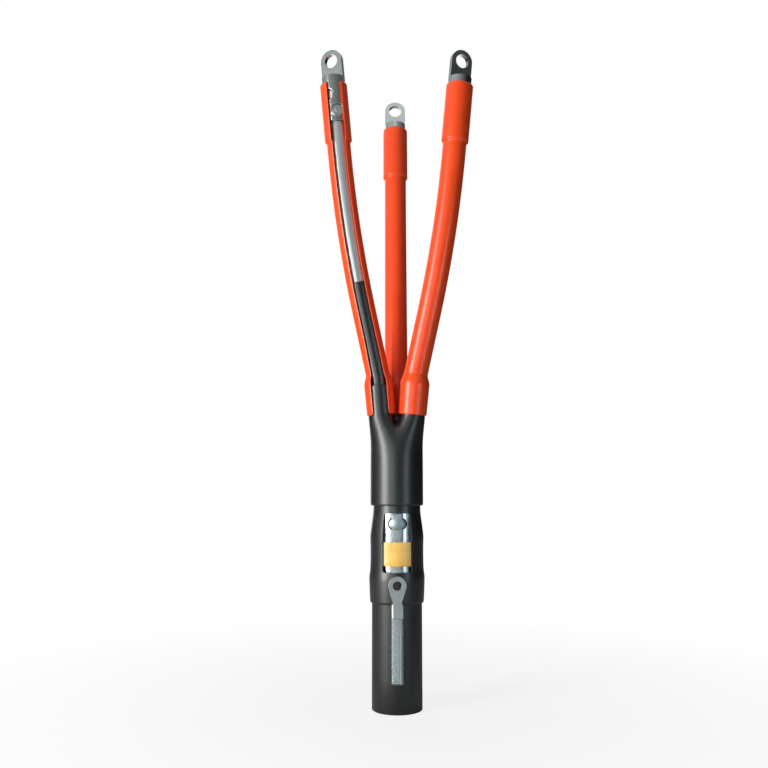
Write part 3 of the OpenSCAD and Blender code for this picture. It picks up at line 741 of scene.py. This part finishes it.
def solder_dome(name, slot, half_w, half_h, rise, *nodes):
    """Oval dome on the front of the metal sheath."""
    bm = bmesh.new()
    bmesh.ops.create_uvsphere(bm, u_segments=48, v_segments=32, radius=1.0)
    every = bm.verts[:] + bm.edges[:] + bm.faces[:]
    cut = bmesh.ops.bisect_plane(bm, geom=every, plane_co=(0.0, SOLDER_CUT, 0.0), plane_no=(0.0, 1.0, 0.0),
                                 clear_outer=True)
    rim = [g for g in cut["geom_cut"] if isinstance(g, bmesh.types.BMEdge)]
    bmesh.ops.contextual_create(bm, geom=rim)
    for v in bm.verts:
        x, out, z = v.co.x, -v.co.y, v.co.z
        ripple = SOLDER_RIPPLE * math.sin(4.0 * x + 1.3) * math.cos(3.0 * z) * max(0.0, out)
        bulge = math.copysign(abs(out) ** SOLDER_STEEP, out) + ripple
        v.co = wrapped(half_w * x, SOLDER_BASE + rise * bulge, SOLDER_Z + half_h * z)
    bmesh.ops.recalc_face_normals(bm, faces=bm.faces)
    piece(bm, name, slot, *nodes, sharp=50.0)


solder_dome("braid_solder_dome", "solder_metal", SOLDER_HALF_W, SOLDER_HALF_H, SOLDER_RISE, "solder_joint")
# A dark rim round the foot of the solder is painted shade: it stands for the shadow where the dome meets
# the sheath
solder_dome("solder_painted_shade_rim", "screen_black",
            SOLDER_HALF_W + SHADE_RIM_WIDER, SOLDER_HALF_H + SHADE_RIM_WIDER, SHADE_RIM_RISE)

# Way of the braid, seen from the side: distance from the cable's axis and height
BRAID_INNER, BRAID_OUTER, BRAID_FRONT = 27.95, 30.95, 35.3
BRAID_TOP, RAMP_TOP, RAMP_LOW, FOLD_Z, BRAID_END = 228.3, 164.2, 158.2, 37.0, 121.05
FOLD_R = (BRAID_FRONT - BRAID_OUTER) / 2.0
BRAID_WAY = [
    (BRAID_INNER, BRAID_TOP), (BRAID_INNER, RAMP_TOP), (BRAID_OUTER, RAMP_LOW),
    *[(BRAID_OUTER + FOLD_R * (1.0 - math.cos(a)), FOLD_Z - FOLD_R * math.sin(a))
      for a in steps(0.0, math.pi, 0.2)],
    (BRAID_FRONT, BRAID_END),
]
BRAID_LEN = sum(math.dist(a, b) for a, b in zip(BRAID_WAY, BRAID_WAY[1:]))
BRAID_HALF_W = 6.6
BRAID_PITCH = 26.0
BRAID_STRANDS = 10
RIBBON_W, RIBBON_T, RIBBON_EDGE = 1.57, 0.4, 0.16
BRAID_STEP = 0.6
LAYER_OUT = 0.38
CROSSING_LIFT = 0.22


def braid_place(s):
    """Distance from the axis, height and outward direction after length s of the braid."""
    for a, b in zip(BRAID_WAY, BRAID_WAY[1:]):
        length = math.dist(a, b)
        if s <= length or b is BRAID_WAY[-1]:
            break
        s -= length
    along = ((b[0] - a[0]) / length, (b[1] - a[1]) / length)
    return a[0] + along[0] * s, a[1] + along[1] * s, (-along[1], along[0])


def strand_point(strand, way, s):
    """Middle of a strand in the flat braid: across, out and along; way tells the two windings apart."""
    turn = 2.0 * math.pi * (s / BRAID_PITCH + strand / BRAID_STRANDS)
    across = way * BRAID_HALF_W * math.asin(math.sin(turn)) * 2.0 / math.pi
    out = LAYER_OUT * max(-1.0, min(1.0, 3.0 * math.cos(turn)))
    return Vector((across, out, s))


def laid_strand(strand, way, s):
    """Middle of a strand at s, with the directions across it and out of the braid."""
    reach = 0.3
    before, after = strand_point(strand, way, s - reach), strand_point(strand, way, s + reach)
    along = (after - before).normalized()
    out = Vector((-along.y, along.x, 0.0)) * way
    out.normalize()
    lift = way * CROSSING_LIFT * math.cos(2.0 * math.pi * BRAID_STRANDS * s / BRAID_PITCH)
    return strand_point(strand, way, s) + out * lift, along.cross(out).normalized(), out


def earth_braid():
    """Tinned flat braid: ribbons of wire that cross over and under each other."""
    bm = bmesh.new()
    bmesh.ops.create_cube(bm, size=1.0)
    bmesh.ops.scale(bm, vec=(RIBBON_W, RIBBON_T, BRAID_LEN), verts=bm.verts)
    bmesh.ops.translate(bm, vec=(0.0, 0.0, BRAID_LEN / 2.0), verts=bm.verts)
    long_edges = [e for e in bm.edges if e.calc_length() > BRAID_LEN / 2.0]
    bmesh.ops.bevel(bm, geom=long_edges, offset=RIBBON_EDGE, offset_type="OFFSET", affect="EDGES",
                    segments=1, profile=0.5, material=-1)
    long_edges = [e for e in bm.edges if e.calc_length() > BRAID_LEN / 2.0]
    bmesh.ops.subdivide_edges(bm, edges=long_edges, cuts=round(BRAID_LEN / BRAID_STEP), use_grid_fill=True)
    uv = bm.loops.layers.uv.new("ribbon")
    for face in bm.faces:
        for corner in face.loops:
            corner[uv].uv = (corner.vert.co.x / RIBBON_W + 0.5, corner.vert.co.z / RIBBON_W)
    ribbon = bm.verts[:] + bm.edges[:] + bm.faces[:]
    ribbons = [(0, 1.0, bm.verts[:])]
    for strand in range(BRAID_STRANDS):
        for way in (1.0, -1.0):
            if (strand, way) == (0, 1.0):
                continue
            copy = bmesh.ops.duplicate(bm, geom=ribbon)["geom"]
            ribbons.append((strand, way, [g for g in copy if isinstance(g, bmesh.types.BMVert)]))
    for strand, way, verts in ribbons:
        laid = {}
        for v in verts:
            s = v.co.z
            key = round(s, 3)
            if key not in laid:
                laid[key] = laid_strand(strand, way, s)
            centre, across, out = laid[key]
            at = centre + across * v.co.x + out * v.co.y
            depth, height, (out_depth, out_height) = braid_place(at.z)
            v.co = wrapped(at.x, depth + out_depth * at.y, height + out_height * at.y)
    bmesh.ops.recalc_face_normals(bm, faces=bm.faces)
    piece(bm, "woven_earth_braid", "braid_metal", "earth_braid", sharp=70.0)


earth_braid()

CONDUCTOR_R = 6.5
CONDUCTOR_IN_BARREL = 45.0
STRAND_LAY, STRAND_STEP = 130.0, 9.0


def conductor(name, azimuth, node):
    """Nineteen round strands, twisted together and bent along the core."""
    top = BARREL_LOW + CONDUCTOR_IN_BARREL
    bm = bmesh.new()
    strand_r = CONDUCTOR_R / 5.0
    bmesh.ops.create_cone(bm, cap_ends=True, segments=10, radius1=strand_r, radius2=strand_r, depth=top)
    bmesh.ops.translate(bm, vec=(0.0, 0.0, top / 2.0), verts=bm.verts)
    long_edges = [e for e in bm.edges if e.calc_length() > top / 2.0]
    bmesh.ops.subdivide_edges(bm, edges=long_edges, cuts=round(top / STRAND_STEP), use_grid_fill=True)
    strand = bm.verts[:] + bm.edges[:] + bm.faces[:]
    for count, reach in ((6, 2.0 * strand_r), (12, 4.0 * strand_r)):
        for i in range(count):
            angle = 2.0 * math.pi * i / count
            copy = bmesh.ops.duplicate(bm, geom=strand)["geom"]
            verts = [g for g in copy if isinstance(g, bmesh.types.BMVert)]
            aside = (reach * math.cos(angle), reach * math.sin(angle), 0.0)
            bmesh.ops.translate(bm, vec=aside, verts=verts)
    places = {}
    for v in bm.verts:
        s = v.co.z
        key = round(s, 3)
        if key not in places:
            twist = Matrix.Rotation(2.0 * math.pi * s / STRAND_LAY, 4, "Z")
            places[key] = core_place(azimuth, s) @ twist
        v.co = places[key] @ Vector((v.co.x, v.co.y, 0.0))
    bmesh.ops.recalc_face_normals(bm, faces=bm.faces)
    piece(bm, name, "conductor_metal", node, sharp=50.0)


for side, azimuth in (("left", LEFT), ("right", RIGHT), ("rear", REAR)):
    conductor(f"{side}_stranded_conductor", azimuth, f"conductor_{side}")


SAME_PLACE_M = 1e-6
FLAT_ANGLE, SHARP_ANGLE = 0.5, 40.0


def merged_copy(node):
    """Shape of a solid with its loose triangles joined, in millimetres."""
    bm = bmesh.new()
    bm.from_mesh(frame["nodes"][node].data)
    bmesh.ops.remove_doubles(bm, verts=bm.verts, dist=SAME_PLACE_M)
    bmesh.ops.scale(bm, vec=(1.0 / MM, 1.0 / MM, 1.0 / MM), verts=bm.verts)
    bmesh.ops.dissolve_limit(bm, angle_limit=math.radians(FLAT_ANGLE), verts=bm.verts[:], edges=bm.edges[:])
    return bm


def eased_copy(name, slot, node, width, axes, keep):
    """Copy of a machined solid with the chosen outer edges broken and its round faces shaded round."""
    bm = merged_copy(node)
    mark = bm.faces.layers.int.new("eased")
    least = math.radians(SHARP_ANGLE)
    sharp = [e for e in bm.edges if e.is_manifold and e.is_convex and e.calc_face_angle() > least]
    chosen = [e for e in sharp if all(keep(v.co) for v in e.verts)]
    bevelled = bmesh.ops.bevel(bm, geom=chosen, offset=width, offset_type="OFFSET", affect="EDGES",
                               segments=3, profile=0.5, material=-1, clamp_overlap=True)["faces"]
    for face in bevelled:
        face[mark] = 1
    made = piece(bm, name, slot, node)
    mesh = made.data
    marks = [item.value for item in mesh.attributes["eased"].data]
    normals = [Vector()] * len(mesh.loops)
    for face in mesh.polygons:
        if marks[face.index]:
            continue
        corners = [mesh.vertices[i].co / MM for i in face.vertices]
        round_normals = None
        for point, axis in axes:
            spokes = [(c - point) - axis * (c - point).dot(axis) for c in corners]
            reaches = [spoke.length for spoke in spokes]
            if max(reaches) - min(reaches) > 0.1 or min(reaches) < 1.0:
                continue
            facing = [spoke.normalized() for spoke in spokes]
            if all(abs(n.dot(face.normal)) > 0.9 for n in facing):
                round_normals = [n if n.dot(face.normal) > 0.0 else -n for n in facing]
        for i, corner in enumerate(face.loop_indices):
            normals[corner] = round_normals[i] if round_normals else face.normal.copy()
    mesh.normals_split_custom_set(normals)


def broken_edges(name, slot, node, width):
    """Copy of a small turned solid with all its edges broken."""
    made = piece(merged_copy(node), name, slot, node)
    edge = made.modifiers.new("edges", "BEVEL")
    edge.limit_method = "ANGLE"
    edge.angle_limit = math.radians(SHARP_ANGLE)
    edge.width = width * MM
    edge.segments = 3


HOLES = {m["name"]: (Vector(m["pos_m"]) / MM, Vector(m["axis"])) for m in frame["record"]["mounts"]}
BARREL_R = 14.0
SEAT_R = 8.25
SEAT_RIM_R, SEAT_RIM_SINK = 0.5, 0.2
LUG_EDGE, BOLT_EDGE, EARTH_LUG_EDGE = 0.6, 0.25, 0.4
BARREL_TOP_EDGES, BARREL_RIM_EDGES = 7.0, 0.5
BOLT_TURN = 48.0
BOLT_FIRST, BOLT_PITCH, BOLT_STAGGER = 13.0, 20.0, 25.0


def seat_rims(name, azimuth, turn, stagger):
    """Rolled rims round the two bolt seats of a barrel."""
    bm = bmesh.new()
    for i in (0, 1):
        flat = Matrix.Translation((SEAT_R, 0.0, 0.0)) @ Matrix.Rotation(math.radians(90.0), 4, "X")
        section = bmesh.ops.create_circle(bm, segments=10, radius=SEAT_RIM_R, matrix=flat)["verts"]
        bmesh.ops.spin(bm, geom=section + ring_edges(section), cent=(0.0, 0.0, 0.0), axis=(0.0, 0.0, 1.0),
                       angle=2.0 * math.pi, steps=72, use_merge=True)
        rim = [v for v in bm.verts if not v.tag]
        for v in rim:
            v.co.z += math.sqrt(BARREL_R ** 2 - v.co.y ** 2) - SEAT_RIM_SINK
            v.tag = True
        level = core_place(azimuth, BARREL_LOW + BOLT_FIRST + (1 - i) * BOLT_PITCH)
        round_barrel = Matrix.Rotation(math.radians(turn + (1 - 2 * i) * stagger), 4, "Z")
        outwards = Matrix.Rotation(math.radians(90.0), 4, "Y")
        bmesh.ops.transform(bm, matrix=level @ round_barrel @ outwards, verts=rim)
    tidy(bm)
    piece(bm, name, "lug_metal", sharp=60.0)


def lug(side, azimuth, turn, stagger):
    barrel = core_place(azimuth, BARREL_LOW)
    into_barrel = barrel.inverted()

    def plain_edge(point):
        height = (into_barrel @ point).z
        return height > BARREL_LEN - BARREL_TOP_EDGES or height < BARREL_RIM_EDGES

    axes = [(barrel.translation, barrel.col[2].to_3d()), HOLES[f"lug_{side}_hole"]]
    eased_copy(f"{side}_lug", "lug_metal", f"lug_{side}", LUG_EDGE, axes, plain_edge)
    broken_edges(f"{side}_sheared_bolts", "bolt_metal", f"shear_bolts_{side}", BOLT_EDGE)
    seat_rims(f"{side}_bolt_seat_rims", azimuth, turn, stagger)


lug("left", LEFT, BOLT_TURN, -BOLT_STAGGER)
lug("right", RIGHT, -BOLT_TURN, BOLT_STAGGER)
lug("rear", REAR, 180.0, -BOLT_STAGGER)
eased_copy("earth_eye_lug", "earth_lug_metal", "earth_lug", EARTH_LUG_EDGE,
           [HOLES["earth_lug_hole"]], lambda point: True)


# Camera, light and stage

camera_data = bpy.data.cameras.new("photo_camera")
camera_data.sensor_width = 36.0
camera_data.lens = 39.04
camera_data.clip_start = 0.01
camera = bpy.data.objects.new("photo_camera", camera_data)
camera.location = (-0.0156, -1.0236, 0.2618)
camera.rotation_euler = (math.radians(96.957), 0.0, 0.0)
bpy.context.scene.collection.objects.link(camera)
bpy.context.scene.camera = camera


def softbox(name, place, target, width, height, power, colour):
    data = bpy.data.lights.new(name, "AREA")
    data.shape = "RECTANGLE"
    data.size = width
    data.size_y = height
    data.energy = power
    data.color = colour
    lamp = bpy.data.objects.new(name, data)
    lamp.location = place
    lamp.rotation_euler = (Vector(target) - Vector(place)).to_track_quat("-Z", "Y").to_euler()
    lamp.visible_camera = False
    bpy.context.scene.collection.objects.link(lamp)


softbox("left_softbox", (-1.31, -0.92, 0.46), (0.0, 0.0, 0.44), 0.6, 1.1, 33.0, (1.0, 0.985, 0.96))
softbox("near_softbox", (-0.65, -1.79, 0.36), (0.0, 0.0, 0.44), 0.6, 0.8, 5.0, (0.8, 0.96, 1.0))
softbox("right_softbox", (1.15, -1.37, 0.3), (0.0, 0.0, 0.28), 0.4, 0.7, 4.5, (0.7, 0.9, 1.0))
softbox("front_softbox", (0.0, -1.2, 1.9), (0.0, 0.0, 0.6), 0.8, 0.5, 0.6, (1.0, 1.0, 1.0))
softbox("back_softbox", (-0.3, 1.9, 0.9), (0.0, 0.0, 0.42), 1.8, 1.8, 14.0, (1.0, 1.0, 1.0))


def seen_directly(tree):
    """Where the eye looks at the background, or through something at it."""
    path = tree.nodes.new("ShaderNodeLightPath")
    through = path.outputs["Is Transmission Ray"]
    return path, calculated(tree, "MAXIMUM", path.outputs["Is Camera Ray"], through)


FILL = 0.09
ROOM_BRIGHT_SIDE = (-0.3, -0.1, 1.2)
ROOM_DIM, ROOM_BRIGHT = 0.012, 0.85
FLOOR_PALE = (0.86, 0.86, 0.86, 1.0)
world = bpy.data.worlds.new("studio")
bpy.context.scene.world = world
world.use_nodes = True
world_tree = world.node_tree
world_tree.nodes.clear()
seen = world_tree.nodes.new("ShaderNodeBackground")
seen.inputs["Color"].default_value = (1.0, 1.0, 1.0, 1.0)
seen.inputs["Strength"].default_value = 1.0
fill = world_tree.nodes.new("ShaderNodeBackground")
fill.inputs["Color"].default_value = (0.92, 0.97, 1.0, 1.0)
# A reflection finds the room bright above and on the left, and dim low down and on the right
room = world_tree.nodes.new("ShaderNodeTexCoord")
toward = world_tree.nodes.new("ShaderNodeVectorMath")
toward.operation = "DOT_PRODUCT"
toward.inputs[1].default_value = ROOM_BRIGHT_SIDE
world_tree.links.new(room.outputs["Generated"], toward.inputs[0])
room_light = ranged(world_tree, toward.outputs["Value"], ROOM_DIM, ROOM_BRIGHT, 0.18, 1.0)
ray, direct = seen_directly(world_tree)
unreflected = calculated(world_tree, "SUBTRACT", 1.0, ray.outputs["Is Glossy Ray"])
world_tree.links.new(calculated(world_tree, "MULTIPLY", unreflected, FILL), fill.inputs["Strength"])
glossy = calculated(world_tree, "MULTIPLY", ray.outputs["Is Glossy Ray"], room_light)
world_mix = world_tree.nodes.new("ShaderNodeMixShader")
world_out = world_tree.nodes.new("ShaderNodeOutputWorld")
world_tree.links.new(calculated(world_tree, "MAXIMUM", direct, glossy), world_mix.inputs["Fac"])
world_tree.links.new(fill.outputs[0], world_mix.inputs[1])
world_tree.links.new(seen.outputs[0], world_mix.inputs[2])
world_tree.links.new(world_mix.outputs[0], world_out.inputs["Surface"])

floor_bm = bmesh.new()
bmesh.ops.create_grid(floor_bm, x_segments=1, y_segments=1, size=6.0)
floor_mesh = bpy.data.meshes.new("pale_floor")
floor_bm.to_mesh(floor_mesh)
floor_bm.free()
floor = bpy.data.objects.new("pale_floor", floor_mesh)
bpy.context.scene.collection.objects.link(floor)
floor_material, floor_tree, floor_shader, floor_coords = new_material("pale_floor")
floor_shader.inputs["Base Color"].default_value = FLOOR_PALE
floor_shader.inputs["Roughness"].default_value = 0.9
floor_shader.inputs["Specular IOR Level"].default_value = 0.1
floor_glow = floor_tree.nodes.new("ShaderNodeEmission")
floor_glow.inputs["Strength"].default_value = 1.0
# The floor runs out into the white background and keeps the shadow near the object
away = floor_tree.nodes.new("ShaderNodeVectorMath")
away.operation = "LENGTH"
floor_tree.links.new(floor_coords.outputs["Object"], away.inputs[0])
runs_out = ranged(floor_tree, away.outputs["Value"], 0.82, 1.0, 0.1, 0.7)
_, direct = seen_directly(floor_tree)
floor_part = calculated(floor_tree, "MULTIPLY", direct, runs_out)
floor_mix = floor_tree.nodes.new("ShaderNodeMixShader")
floor_tree.links.new(floor_part, floor_mix.inputs["Fac"])
floor_tree.links.new(floor_shader.outputs["BSDF"], floor_mix.inputs[1])
floor_tree.links.new(floor_glow.outputs["Emission"], floor_mix.inputs[2])
floor_tree.links.new(floor_mix.outputs[0], floor_tree.nodes["Material Output"].inputs["Surface"])
floor_mesh.materials.append(floor_material)

bpy.context.scene.view_settings.view_transform = "Standard"
